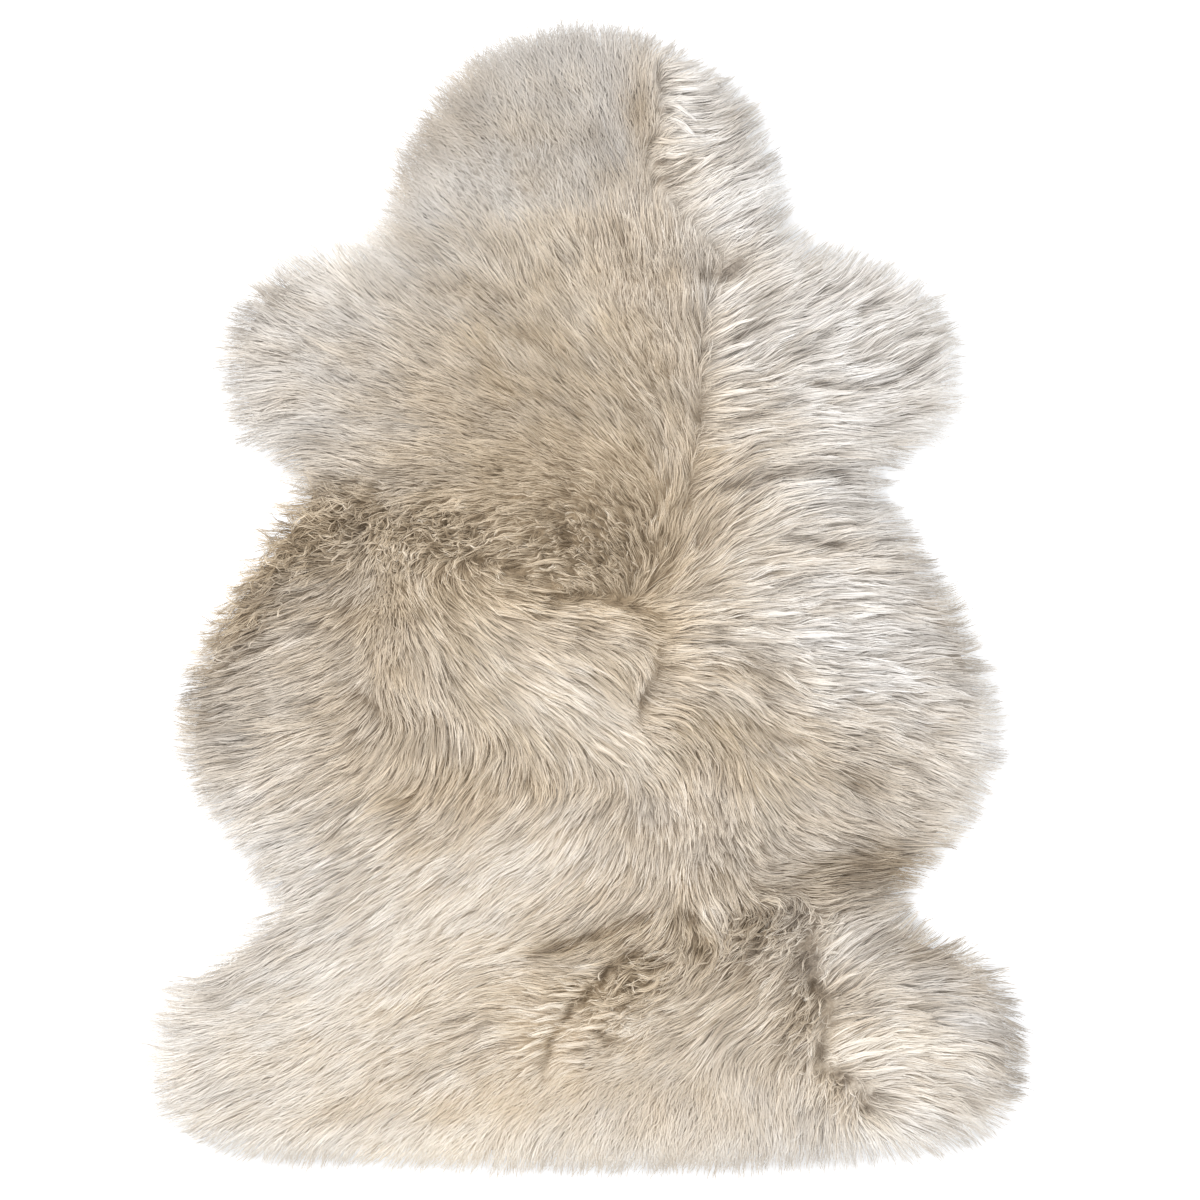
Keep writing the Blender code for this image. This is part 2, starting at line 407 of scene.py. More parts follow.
CREASES = {
    "head": [
        Crease(2.5, 0.22, [(58, 440), (72, 439), (86, 441)]), Crease(2, 0.25, [(62, 428), (82, 425)]),
        Crease(2, 0.2, [(60, 420), (72, 419)]), Crease(3, 0.25, [(102, 417), (114, 424)]),
        Crease(3, 0.38, [(58, 403), (68, 402)]), Crease(5, 0.24, [(92, 404), (100, 399)]),
        Crease(3, 0.2, [(64, 378), (72, 377)]), Crease(3, 0.4, [(58, 360), (70, 358), (84, 362)]),
        Crease(3, 0.28, [(60, 346), (72, 346), (80, 351)]), Crease(3, 0.2, [(62, 336), (72, 341)]),
    ],
    "neck": [
        Crease(5, 0.42, [(96, 266), (112, 266), (122, 273)]), Crease(3, 0.24, [(120, 280), (138, 282)]),
        Crease(3, 0.22, [(116, 310), (126, 317), (138, 318)]), Crease(8, 0.2, [(150, 322), (156, 312)]),
        Crease(3, 0.26, [(136, 286), (150, 292), (164, 298)]), Crease(2, 0.2, [(126, 308), (140, 309)]),
    ],
    "right shoulder": [
        Crease(3, 0.34, [(113, 144), (125, 147), (145, 152), (160, 157), (178, 160)]),
        Crease(3, 0.36, [(187, 176), (204, 173), (222, 175), (236, 172), (250, 177), (290, 206)]),
        Crease(4, 0.22, [(163, 203), (178, 202), (190, 208), (199, 217)]),
        Crease(3, 0.26, [(240, 139), (252, 143), (272, 154), (296, 160)]),
        Crease(2, 0.22, [(140, 182), (158, 189), (178, 200)]), Crease(2, 0.22, [(148, 163), (182, 167)]),
        Crease(5, 0.22, [(143, 248), (163, 258)]), Crease(4, 0.24, [(119, 211), (128, 218), (142, 222)]),
        Crease(2, 0.26, [(141, 223), (157, 229)]), Crease(2, 0.26, [(268, 216), (292, 219)]),
        Crease(2, 0.18, [(284, 189), (312, 197)]), Crease(2, 0.2, [(222, 232), (240, 241)]),
        Crease(4, 0.28, [(114, 91), (145, 98), (176, 106), (216, 101)]),
        Crease(2, 0.2, [(226, 104), (262, 112)]),
    ],
    "right side": [
        Crease(3.5, 0.4, [(160, 48), (178, 47), (204, 42)]), Crease(2, 0.26, [(200, 43), (262, 50)]),
        Crease(2, 0.2, [(200, 60), (232, 62)]), Crease(2, 0.26, [(85, 2), (100, 6), (122, 6)]),
        Crease(2, 0.2, [(140, 19), (162, 20)]), Crease(2.5, 0.28, [(70, -34), (92, -34), (116, -38)]),
        Crease(4, 0.16, [(118, -44), (140, -46), (158, -54)]), Crease(2.5, 0.24, [(170, -43), (200, -40)]),
        Crease(2, 0.22, [(60, -56), (78, -54)]), Crease(2.5, 0.24, [(100, -56), (112, -61)]),
        Crease(2, 0.18, [(190, -78), (212, -78)]), Crease(3, 0.28, [(218, -87), (242, -90)]),
        Crease(3, 0.26, [(138, -74), (150, -84), (162, -97)]),
        Crease(2.5, 0.26, [(150, -112), (160, -119), (178, -118)]),
        Crease(3, 0.2, [(262, -136), (284, -150)]),
    ],
    "whorl": [
        Crease(2.5, 0.24, [(10, 6), (30, -4), (50, -11)]), Crease(2, 0.2, [(-30, -8), (-8, -6)]),
        Crease(5, 0.18, [(-24, 58), (-18, 40), (-12, 32)]), Crease(2, 0.22, [(-42, 18), (-20, 19)]),
        Crease(4, 0.14, [(8, 22), (12, 8)]), Crease(2, 0.22, [(-44, -16), (-28, -16)]),
    ],
    "left side": [
        Crease(3, 0.14, [(-212, -20), (-240, -30), (-262, -34)]),
        Crease(3, 0.16, [(-225, -84), (-262, -90), (-300, -92)]),
        Crease(3, 0.14, [(-165, 165), (-195, 180), (-215, 190)]),
        Crease(3, 0.14, [(-20, 195), (-50, 212), (-70, 222)]), Crease(3, 0.12, [(-10, 150), (-45, 170)]),
    ],
    "loin": [
        Crease(4, 0.3, [(-45, -295), (-15, -285), (2, -279)]), Crease(4, 0.2, [(10, -275), (45, -262)]),
        Crease(4, 0.34, [(70, -268), (78, -260), (88, -264)]), Crease(3, 0.3, [(86, -288), (100, -297)]),
        Crease(4, 0.25, [(128, -268), (140, -260), (160, -262)]), Crease(4, 0.3, [(166, -258), (176, -264)]),
    ],
    "tail": [
        Crease(3, 0.28, [(22, -304), (36, -309), (50, -306)]), Crease(4, 0.3, [(50, -297), (66, -300)]),
        Crease(2, 0.22, [(66, -322), (80, -328), (96, -322)]), Crease(3, 0.3, [(8, -358), (18, -366)]),
        Crease(3, 0.2, [(-12, -372), (10, -371)]), Crease(2, 0.2, [(22, -335), (40, -340), (58, -336)]),
    ],
    "foot": [
        Crease(4, 0.26, [(184, -318), (196, -326)]), Crease(5, 0.2, [(205, -322), (212, -330)]),
        Crease(2.5, 0.3, [(230, -408), (254, -409)]),
    ],
}
every_crease = [*PARTINGS.values(), *(crease for rows in CREASES.values() for crease in rows)]


def lines_of(creases):
    """The straight lines between the corners of some creases."""
    return np.array([pair for crease in creases for pair in zip(crease.corners, crease.corners[1:])], float)


def patched(points, quality):
    """The sum of one quality of the patches at each point."""
    total = np.zeros(len(points))
    for patch in PATCHES:
        turn = math.radians(patch.turn)
        along = (points - (patch.x, patch.y)) @ (math.cos(turn), math.sin(turn))
        across = (points - (patch.x, patch.y)) @ (-math.sin(turn), math.cos(turn))
        share = np.exp(-((along / patch.long) ** 2) - (across / patch.wide) ** 2)
        total += getattr(patch, quality) * share
    return total


def ripple(points, size, seed):
    """A slow change from place to place, mostly from -1 to 1: waves in many directions, summed."""
    draw = np.random.default_rng(seed)
    total = np.zeros(points.shape[:-1])
    for angle in draw.uniform(0, 2 * math.pi, 8):
        wave = 2 * math.pi / size * draw.uniform(0.6, 1.4)
        way = np.array([math.cos(angle), math.sin(angle)])
        total += np.sin(points @ way * wave + draw.uniform(0, 2 * math.pi))
    return total / 3


def crease_shade(points):
    """How much painted shade in the creases darkens each point, here more and there less."""
    total = np.zeros(len(points))
    for crease in every_crease:
        away = distance_to_lines(points, lines_of([crease]))
        total += crease.dark * np.exp(-((away / crease.width) ** 2))
    return total * np.clip(0.85 + 0.4 * ripple(points, 26, 31), 0.3, 1.4)


def evened(points, tone):
    """How light or warm the wool is from its rim to its middle, before the tables change it."""
    deep = edge_distance.at(points)[:, 0]
    rim = np.clip(1 - deep / RIM_TONE_REACH, 0, 1)
    fringe = np.clip(1 - deep / FRINGE_REACH, 0, 1.5) * tone.fringe
    even = tone.inside + (tone.rim - tone.inside) * rim + fringe
    return even + tone.mottle * ripple(points, MOTTLE_SIZE, tone.seed)


def lightness(points):
    """How light the wool is, from 0 to 1: lighter towards the rim, and as the tables say. The creases'
    darkening in it is painted shade, and the patches' lightness is partly painted light and shade.
    """
    return evened(points, LIGHT) + patched(points, "light") - crease_shade(points)


def warmth(points):
    """How warm the wool's tone is, from 0 to 1: cooler towards the rim, and as the patches say."""
    return evened(points, WARM) + patched(points, "warm")


def wool_tone():
    """The colours of the wool as a node group: from dark roots to light tips, cool or warm; the dark roots
    and light tips are partly painted shade and a painted highlight.
    """
    group = bpy.data.node_groups.new("wool tone", "ShaderNodeTree")
    group.interface.new_socket("Lightness", in_out="INPUT", socket_type="NodeSocketFloat")
    group.interface.new_socket("Warmth", in_out="INPUT", socket_type="NodeSocketFloat")
    group.interface.new_socket("Color", in_out="OUTPUT", socket_type="NodeSocketColor")
    given, result = group.nodes.new("NodeGroupInput"), group.nodes.new("NodeGroupOutput")
    mix = added(group, "Mix")
    mix.data_type = "RGBA"
    cool = [(0.107, 0.090, 0.074), (0.338, 0.305, 0.272), (0.708, 0.672, 0.630), (0.935, 0.918, 0.900)]
    warm = [(0.107, 0.071, 0.038), (0.342, 0.261, 0.170), (0.722, 0.602, 0.448), (0.955, 0.880, 0.755)]
    for socket, colours in (("A", cool), ("B", warm)):
        ramp = added(group, "ValToRGB")
        stops = ramp.color_ramp.elements
        stops.new(0.35)
        stops.new(0.70)
        for stop, colour in zip(stops, colours):
            stop.color = (*colour, 1)
        wired(group, (given, "Lightness", ramp, "Fac"), (ramp, "Color", mix, socket))
    wired(group, (given, "Warmth", mix, "Factor"), (mix, "Result", result, "Color"))
    return group


def underwool_mesh():
    """The solid in the frame, divided evenly, lowered and drawn in, with a tufted top."""
    layer = placed("underwool", mesh_of(merged_solid(), "underwool"))
    remesh = layer.modifiers.new("even", "REMESH")
    remesh.mode = "VOXEL"
    remesh.voxel_size = UNDERWOOL_CELL * MM
    graph = bpy.context.evaluated_depsgraph_get()
    even = bpy.data.meshes.new_from_object(layer.evaluated_get(graph))
    layer.modifiers.clear()
    layer.data = even
    place = np.empty(len(even.vertices) * 3, np.float32)
    even.vertices.foreach_get("co", place)
    place = place.reshape(-1, 3) / MM
    flat = place[:, :2].astype(float)
    deep = edge_distance.at(flat)[:, 0]
    flat += inward.at(flat) * (UNDERWOOL_INSET * np.clip(1 - deep / UNDERWOOL_RIM, 0, 1))[:, None]
    uneven = ripple(flat, UNDERWOOL_TUFT, 5) * np.clip(deep / UNDERWOOL_FLAT, 0, 1)
    foot, least = HIDE_THICKNESS + UNDERWOOL_LIFT[0], HIDE_THICKNESS + UNDERWOOL_LIFT[1]
    height = np.maximum(place[:, 2] * UNDERWOOL_SHARE + UNDERWOOL_TUFT_HEIGHT * uneven, least)
    height = np.where(place[:, 2] > UNDERWOOL_FOOT, height, foot)
    place = np.column_stack([flat, height]) * MM
    even.vertices.foreach_set("co", place.astype(np.float32).ravel())
    even.update()
    even.shade_smooth()
    # More painted shade under tangles, less under soft wool.
    light = lightness(flat) - BED_SHADE_IN_TANGLES * np.clip(patched(flat, "mess"), 0, 1)
    light += BED_IN_SOFT_WOOL * np.clip(patched(flat, "soft"), 0, 1)
    for name, values in (("lightness", light), ("warmth", warmth(flat))):
        even.attributes.new(name, "FLOAT", "POINT").data.foreach_set("value", values.astype(np.float32))
    return layer


def felted_wool(tone):
    """The underwool's material: the wool's tone, darkened by painted shade and mottled by the crimp of the
    fibres.
    """
    material, tree, shader = new_material("underwool", {"Sheen Weight": 0.3, "Specular IOR Level": 0.2})
    place, total, colour = (added(tree, kind) for kind in ("TexCoord", "Math", "Group"))
    colour.node_tree = tone
    crimp = added(tree, "TexNoise", {"Scale": 260, "Detail": 6, "Distortion": 1.5})
    light, warm = added(tree, "Attribute"), added(tree, "Attribute")
    light.attribute_name, warm.attribute_name = "lightness", "warmth"
    # Painted shade darkens the whole underwool by 0.1 to 0.3, and the crimp mottles it.
    darker = added(tree, "MapRange", {"From Min": 0.3, "From Max": 0.7, "To Min": -0.3, "To Max": -0.1})
    wired(
        tree,
        (place, "Object", crimp, "Vector"),
        (crimp, "Fac", darker, "Value"),
        (darker, "Result", total, 0),
        (light, "Fac", total, 1),
        (total, "Value", colour, "Lightness"),
        (warm, "Fac", colour, "Warmth"),
        (colour, "Color", shader, "Base Color"),
    )
    textured(tree, shader, (crimp, "Fac"), {"Distance": 0.0015}, (crimp, "Fac"), (0.98, 0.8))
    return material


tone = wool_tone()
underwool = underwool_mesh()
underwool.data.materials.clear()
underwool.data.materials.append(felted_wool(tone))
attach(underwool, "root")


# ---------------------------------------------------------------------------------------------
# The long wool: locks of fine wool that rise from the hide, bend over and lie on each other.
# It is combed from the back outwards, so it lies away from the partings and over the rim.
# ---------------------------------------------------------------------------------------------

# How the wool is combed: places, and the heading of the wool's tips there in degrees.
COMBED = {
    "crown": [
        (-99, 434, 125), (-49, 468, 105), (2, 475, 92), (39, 466, 80), (69, 455, 60), (103, 430, 42),
    ],
    "left of the head": [
        (-112, 432, 132), (-140, 400, 140), (-160, 360, 140), (-170, 320, 142), (-60, 430, 122),
        (-100, 395, 140), (-112, 340, 142), (-60, 335, 135), (-30, 360, 125), (-10, 405, 116),
        (20, 350, 110), (28, 430, 98), (35, 390, 102), (35, 320, 100), (-150, 300, 142),
    ],
    "right of the head": [
        (69, 430, 352), (88, 414, 2), (70, 402, 5), (62, 380, 18), (80, 367, 355), (72, 350, 15),
        (103, 345, 30), (136, 326, 25), (119, 400, 30), (136, 394, 36), (153, 360, 42), (120, 370, 35),
        (165, 330, 40), (90, 330, 32), (110, 310, 30), (66, 440, 30),
    ],
    "left shoulder": [
        (-240, 275, 132), (-195, 290, 138), (-290, 240, 155), (-302, 200, 180), (-295, 165, 180),
        (-272, 138, 190), (-220, 255, 152), (-150, 230, 150), (-70, 230, 138), (-10, 220, 128),
        (-40, 280, 115), (-110, 280, 138), (20, 280, 102), (-210, 180, 168), (-110, 165, 158),
        (-20, 150, 142), (-190, 125, 170), (-90, 112, 175), (0, 102, 150), (-245, 120, 180),
    ],
    "left of the back parting": [
        (60, 290, 96), (80, 260, 95), (40, 220, 120), (75, 200, 107), (40, 160, 135), (76, 130, 103),
    ],
    "right shoulder": [
        (124, 282, 28), (183, 282, 38), (213, 276, 40), (242, 265, 35), (272, 262, 30), (139, 256, 24),
        (198, 247, 30), (257, 241, 26), (287, 226, 20), (305, 205, 15), (115, 235, 35), (124, 217, 30),
        (168, 211, 22), (228, 211, 25), (272, 202, 28), (109, 188, 25), (154, 182, 15), (198, 182, 10),
        (242, 182, 15), (287, 193, 25), (109, 158, 8), (154, 158, 8), (198, 158, 2), (257, 161, 10),
        (293, 170, 15), (109, 134, 352), (154, 134, 0), (198, 131, 0), (257, 134, 2), (287, 124, 352),
        (115, 114, 35), (139, 105, 20), (183, 99, 2), (228, 99, 357), (250, 108, 0),
    ],
    "left waist": [
        (-262, 70, 178), (-217, 95, 177), (-215, 55, 190), (-130, 52, 188), (-276, 21, 190),
        (-291, -8, 203), (-232, 6, 198), (-222, -23, 204), (-187, -8, 222), (-202, -62, 206),
        (-276, -53, 194), (-238, -56, 198), (-320, -38, 200), (-166, 21, 262), (-172, -23, 268),
    ],
    "left belly": [
        (-340, -90, 182), (-306, -82, 190), (-291, -97, 186), (-232, -91, 196), (-184, -115, 217),
        (-217, -127, 205), (-261, -142, 198), (-187, -147, 214), (-310, -120, 182), (-160, -125, 235),
    ],
    "middle": [
        (-65, 85, 183), (-70, 52, 196), (-35, 38, 190), (30, 80, 140), (38, 38, 122), (5, 24, 155),
        (-143, 6, 290), (-113, -38, 302), (-158, -56, 280), (-143, -82, 298), (-98, -14, 322),
        (-84, -56, 318), (-69, 6, 338), (-62, 14, 345), (-49, -12, 348), (-20, -15, 352),
        (10, -26, 350), (35, -30, 338), (-60, -45, 330), (-40, -60, 332), (-20, -75, 332),
        (-75, -90, 322), (5, -55, 328), (20, -80, 325), (44, -58, 290), (40, -75, 295), (-10, -95, 328),
    ],
    "below the middle": [
        (-143, -127, 255), (-113, -121, 268), (-98, -150, 240), (-75, -135, 248), (25, -120, 325),
        (42, -135, 300), (-5, -170, 228), (15, -178, 240), (45, -200, 262), (80, -195, 272),
        (-30, -125, 300), (-50, -110, 300),
    ],
    "fan right of the middle": [
        (70, 60, 78), (94, 51, 52), (123, 63, 32), (109, 23, 25), (109, -6, 8), (68, 20, 50),
        (72, -15, 8), (80, -50, 358), (109, -34, 354), (64, -72, 0), (62, -88, 8), (78, -84, 354),
        (90, -90, 325), (98, -102, 292), (58, -98, 352), (72, -106, 325), (80, -114, 305), (97, -74, 345),
        (115, -76, 320), (123, -66, 338), (122, -96, 292), (137, -84, 322), (150, -106, 312),
    ],
    "right belly": [
        (137, 23, 15), (166, 14, 5), (140, 82, 30), (200, 70, 5), (251, 23, 357), (166, -11, 2),
        (280, -20, 355), (251, -49, 0), (294, -80, 355), (151, -51, 346), (194, -80, 0), (223, -92, 355),
        (160, -92, 345), (312, -20, 5), (332, -60, 0), (342, -90, 355), (137, -114, 305),
        (166, -132, 325), (194, -120, 345), (223, -149, 332), (251, -137, 342), (280, -149, 338),
        (309, -120, 345), (323, -106, 350), (342, -145, 348),
    ],
    "right groin": [
        (94, -149, 272), (123, -163, 290), (151, -157, 310), (194, -163, 325), (109, -191, 276),
        (137, -195, 308), (180, -191, 335), (223, -191, 345), (266, -177, 340), (294, -177, 350),
        (112, -222, 290), (151, -234, 5), (194, -229, 5), (237, -229, 5), (312, -192, 345), (285, -228, 5),
    ],
    "left groin": [
        (-342, -150, 182), (-320, -175, 192), (-300, -198, 207), (-280, -230, 215), (-272, -262, 205),
        (-155, -175, 205), (-275, -175, 210), (-230, -215, 208), (-150, -230, 212), (-225, -280, 210),
        (-60, -180, 212), (-60, -240, 213), (20, -230, 233), (-130, -285, 215),
    ],
    "loin": [
        (-20, -262, 216), (40, -268, 215), (100, -268, 303), (80, -292, 250), (165, -268, 212),
        (130, -285, 212), (60, -300, 190), (235, -252, 12), (282, -266, 20),
    ],
    "left haunch": [
        (-312, -292, 207), (-345, -325, 190), (-362, -375, 184), (-350, -410, 205), (-330, -440, 200),
        (-290, -455, 215), (-280, -285, 208), (-320, -340, 190), (-240, -350, 200), (-200, -310, 207),
        (-150, -285, 218), (-250, -400, 206), (-200, -400, 210), (-140, -400, 214), (-180, -440, 214),
    ],
    "left of the tail": [
        (-60, -312, 184), (-25, -315, 175), (-30, -335, 160), (-65, -350, 183), (-50, -372, 192),
        (-95, -370, 198), (-60, -405, 216), (-100, -420, 216), (-30, -400, 222),
    ],
    "right of the tail": [
        (20, -325, 190), (5, -350, 184), (45, -345, 195), (75, -345, 205), (120, -340, 217),
        (0, -378, 183), (30, -390, 202), (75, -380, 222), (160, -365, 220), (165, -325, 216),
    ],
    "rump": [
        (-200, -468, 240), (-250, -466, 228), (-140, -465, 238), (-80, -460, 245), (-45, -455, 258),
        (0, -458, 260), (0, -415, 226), (25, -432, 236), (45, -405, 234), (70, -420, 250),
        (110, -400, 266), (110, -450, 270), (150, -400, 265), (60, -458, 268), (180, -440, 268),
        (200, -408, 245), (215, -462, 278),
    ],
    "right haunch": [
        (202, -290, 50), (218, -310, 48), (225, -285, 36), (252, -285, 20), (275, -300, 6),
        (310, -305, 358), (342, -320, 345), (250, -330, 6), (228, -345, 20), (285, -342, 355),
        (325, -335, 338), (356, -352, 328), (300, -362, 348), (345, -372, 348), (220, -372, 32),
        (260, -372, 6), (230, -388, 24), (282, -392, 352), (325, -392, 338), (245, -405, 4),
        (262, -418, 350), (245, -432, 322), (300, -432, 332), (330, -430, 322), (345, -402, 340),
        (250, -456, 302), (230, -452, 285), (285, -460, 315), (325, -448, 330),
    ],
}
COMB_REACH = 14           # distance within which one combing holds by itself
PAST_A_PARTING = 1e-5     # how much of it holds on the other side of a parting
RIM_PULL = 28             # how near the edge the wool starts to turn outwards
RIM_TURN = 0.5            # how strongly it turns there
FALL = (11, 0.5, 2.5)     # height of the wool at the edge, its slope past it and its least height
OPEN = 0.1                # how dark a parting is at least that shows the underwool
parting_lines = lines_of(PARTINGS.values())
open_lines = lines_of(parting for parting in PARTINGS.values() if parting.dark >= OPEN)


def crosses(points, target, start, end):
    """Whether the way from each point to the target crosses a line."""

    def side(ax, ay, bx, by, cx, cy):
        return (bx - ax) * (cy - ay) - (by - ay) * (cx - ax)

    x, y = points.T
    splits = side(*start, *end, x, y) * side(*start, *end, *target) < 0
    return splits & (side(x, y, *target, *start) * side(x, y, *target, *end) < 0)


def lie_of_the_wool():
    """The way that the wool's tips point at every place, as a map of unit arrows."""
    total = np.zeros((len(Map.places), 2))
    for x, y, heading in [row for rows in COMBED.values() for row in rows]:
        away = np.hypot(*(Map.places - (x, y)).T)
        weight = 1 / (away**2 + COMB_REACH**2) ** 2
        for start, end in parting_lines:
            weight[crosses(Map.places, (x, y), start, end)] *= PAST_A_PARTING
        angle = math.radians(heading)
        total += weight[:, None] * (math.cos(angle), math.sin(angle))
    total /= np.hypot(*total.T)[:, None]
    turn = np.clip(1 - depth / RIM_PULL, 0, 1.5) * RIM_TURN
    total -= inward.at(Map.places) * turn[:, None]
    return Map(total / np.maximum(np.hypot(*total.T), 1e-6)[:, None])


def pile_height():
    """The height of the wool's solid at every place, and of the wool that falls past its rim."""
    tree = bvhtree.BVHTree.FromObject(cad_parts["sheepskin"], bpy.context.evaluated_depsgraph_get())
    (at_edge, slope, least), heights = FALL, []
    for (x, y), inside_by in zip(Map.places, depth):
        hit = tree.ray_cast(Vector((x * MM, y * MM, 1)), Vector((0, 0, -1)))[0]
        heights.append(hit.z / MM if hit else max(at_edge + inside_by * slope, least))
    return Map(np.array(heights))


def scattered(step, shift):
    """Places about a step apart over the whole map, each moved a little from an even grid."""
    places = []
    for row in range(int(2 * MAP_REACH[1] / step)):
        across = np.arange(-MAP_REACH[0], MAP_REACH[0], step) + (row % 2) * step / 2
        places.append(np.stack([across, np.full(len(across), row * step - MAP_REACH[1])], -1))
    places = np.concatenate(places)
    return places + dice.uniform(-shift, shift, places.shape) * step


def nearest_of(centres, points):
    """The index of the centre nearest to each point."""
    tree = kdtree.KDTree(len(centres))
    for index, (x, y) in enumerate(centres):
        tree.insert((x, y, 0), index)
    tree.balance()
    return np.array([tree.find((x, y, 0))[1] for x, y in points])


def turned(ways, angles):
    cos, sin = np.cos(angles), np.sin(angles)
    return np.stack([ways[:, 0] * cos - ways[:, 1] * sin, ways[:, 0] * sin + ways[:, 1] * cos], -1)


def read_at(lines, share):
    """The point at a share of each line's length, between its joints."""
    spot = share * (len(lines) - 1)
    low = np.minimum(spot.astype(int), len(lines) - 2)
    part = (spot - low)[:, None]
    every = np.arange(lines.shape[1])
    return lines[low, every] * (1 - part) + lines[low + 1, every] * part


# Strands of one kind: their points joint by joint, how light each is there, and their roll, warmth
# and start.
Strands = namedtuple("Strands", "kind lines light roll warm start")

# The kinds of wool: the spacing of the locks, the strands in each, their length, width and
# joints, how far apart they start, how high they lie, how strongly a tuft gathers them, how far
# they curl round in degrees, and the quality of the patches that they grow in.
Kind = namedtuple("Kind", "name step strands length width joints spread height gather curl where")
KINDS = [
    Kind("fine wool", 4.39, 4, 33, 0.45, 5, 3.2, 0.93, 0.35, 0, ""),
    Kind("long locks", 11, 3, 54, 0.5, 6, 4.0, 1.0, 0.45, 0, ""),
    Kind("tangled wool", 4.2, 4, 22, 0.5, 6, 2.0, 1.0, 0.25, 80, "mess"),
    Kind("downy wool", 4.2, 4, 20, 0.6, 4, 3.5, 0.95, 0.1, 20, "soft"),
]
GIVES_WAY = 0.6           # share of the wool that gives way to tangled wool in a tangle
SETS_IN, SETS_IN_LATE = 1.8, 0.3        # how fast and how late a patch's own wool sets in
FIRMNESS = (0.15, 2)      # least and greatest firmness of the wool
LOCK_LENGTHS, STRAND_LENGTHS = (0.75, 1.15), (0.85, 1.1)   # how much the length differs
LOCK_TURN, STRAND_TURN = 5, 3.5         # how far locks and strands turn aside, in degrees
TANGLE_TURN, TANGLE_CURL = 24, 50       # how far locks turn and curl in tangles
TUFT_TURN, TUFT_LIFT, TUFT_LIGHT = 4, 0.05, 0.06    # how much tufts differ in these
LOCK_LIGHT, STRAND_LIGHT = 0.046, 0.04  # how much locks and strands differ in lightness
STRAND_ROLL, LOCK_WARMTH = 25, 0.05     # how much strands roll in degrees, and locks differ in warmth
SWERVE, SWERVE_SIZE = 8, 70             # how far the lie swerves in degrees, and over what way
TUFT_STEP = 12            # spacing of the tufts that the strands gather into
ROOT_DEPTH = 14           # how far inside the edge the outermost wool grows
ROOT_SHIFT = 6            # how far behind its place a strand starts, to close the partings
SHORT_REACH = (26, 70)    # how far inside the edge wool may start to be short, and be so fully
TUFT_TIP = (-9, 3)        # middle and spread of how far inside the edge a tuft at the rim ends
STRAND_TIP = 8            # spread of the same among the strands of a tuft
STRAYS = 0.16             # share of the strands that reach past the rest at the rim
STRAY_REACH = (2, 14)     # how far at least and at most they do
FURTHEST_TIP = -30        # how far past the edge the furthest strand reaches
RIM_REACH = 50            # how far inside the edge the wool at the rim starts
LONGER_AT_RIM = 0.3       # how much longer it is than elsewhere
LOOSER_AT_RIM = 0.75      # how much less it gathers into tufts
LOOSER_LOCKS_AT_RIM = 0.5               # how much less its locks draw together
CALMER_AT_RIM = 0.7       # how much less it is tangled
LOCK_GATHER = 0.55        # how strongly the strands of a lock draw together towards its tip
PAST_PARTING = (-4, 4)    # least and most that wool which runs into a parting reaches over it
PARTING_GAP = 1           # how far from an open parting the wool beside it starts
STIFF = 0.35              # how much a strand keeps its heading from joint to joint
TIP_DROP = 2.0            # how much steeper the wool rises at its root than at its tip
LIFTS = (0.75, 1.1)       # least and greatest height of a strand, as a share of the pile's
LOWEST = 1.2              # least height of any joint above the floor
CREASE_DEPTH = 0.5        # how much a crease lowers the wool over it
lie, pile = lie_of_the_wool(), pile_height()
light_map, warm_map = Map(lightness(Map.places)), Map(warmth(Map.places))
# The creases' painted shade, also used to lower the wool over them.
crease_map = Map(crease_shade(Map.places))
dice = np.random.default_rng(11)

# Where the fringe reaches further past the edge than elsewhere, or less far: a middle, how far
# along the edge, and by how much.
Fringe = namedtuple("Fringe", "place x y along more")
FRINGES = [
    Fringe("left of the head", -165, 360, 70, 6),
    Fringe("left of the neck", -225, 292, 34, 16),
    Fringe("right of the neck", 185, 300, 22, 10),
    Fringe("left shoulder", -302, 200, 80, 6),
    Fringe("left waist", -262, 60, 60, 8),
    Fringe("left flank", -312, -20, 40, 5),
    Fringe("above the left haunch", -305, -300, 40, 18),
    Fringe("above the right haunch", 325, -300, 25, 9),
    Fringe("left hind leg", -362, -390, 60, 5),
    Fringe("right rump corner", 310, -460, 45, 8),
    Fringe("left of the rump", -130, -472, 80, -10),
    Fringe("rump", 20, -472, 80, -8),
]
tufts = scattered(TUFT_STEP, 0.4)
tufts = tufts[edge_distance.at(tufts)[:, 0] > ROOT_DEPTH - TUFT_STEP]
tuft_turn, tuft_lift, tuft_light = (
    spread * np.clip(dice.normal(0, 1, len(tufts)), -1.7, 1.7)
    for spread in (TUFT_TURN, TUFT_LIFT, TUFT_LIGHT)
)


def reach_past(points):
    """How much further past the edge than elsewhere the wool at each point reaches."""
    total = np.zeros(len(points))
    for fringe in FRINGES:
        near = np.hypot(*(points - (fringe.x, fringe.y)).T) / fringe.along
        total += fringe.more * np.exp(-(near**2))
    return total


tuft_end = dice.normal(*TUFT_TIP, len(tufts)) - reach_past(tufts)


def at_rim(points):
    """How much each point belongs to the rim, from 0 to 1 at the edge."""
    return np.clip(1 - edge_distance.at(points)[:, 0] / RIM_REACH, 0, 1)


def fullness(points):
    """The length of the wool as a share of its kind's; at the rim it is always long."""
    start, full = SHORT_REACH
    inner = np.clip((edge_distance.at(points)[:, 0] - start) / (full - start), 0, 1)
    short = np.clip(patched(points, "short"), -0.3, 0.65) * inner
    return 1 - short + at_rim(points) * (LONGER_AT_RIM + np.maximum(reach_past(points), 0) / 30)


def heading_at(points, turn):
    ways = turned(lie.at(points), np.radians(turn))
    return ways / np.maximum(np.hypot(*ways.T), 0.05)[:, None]


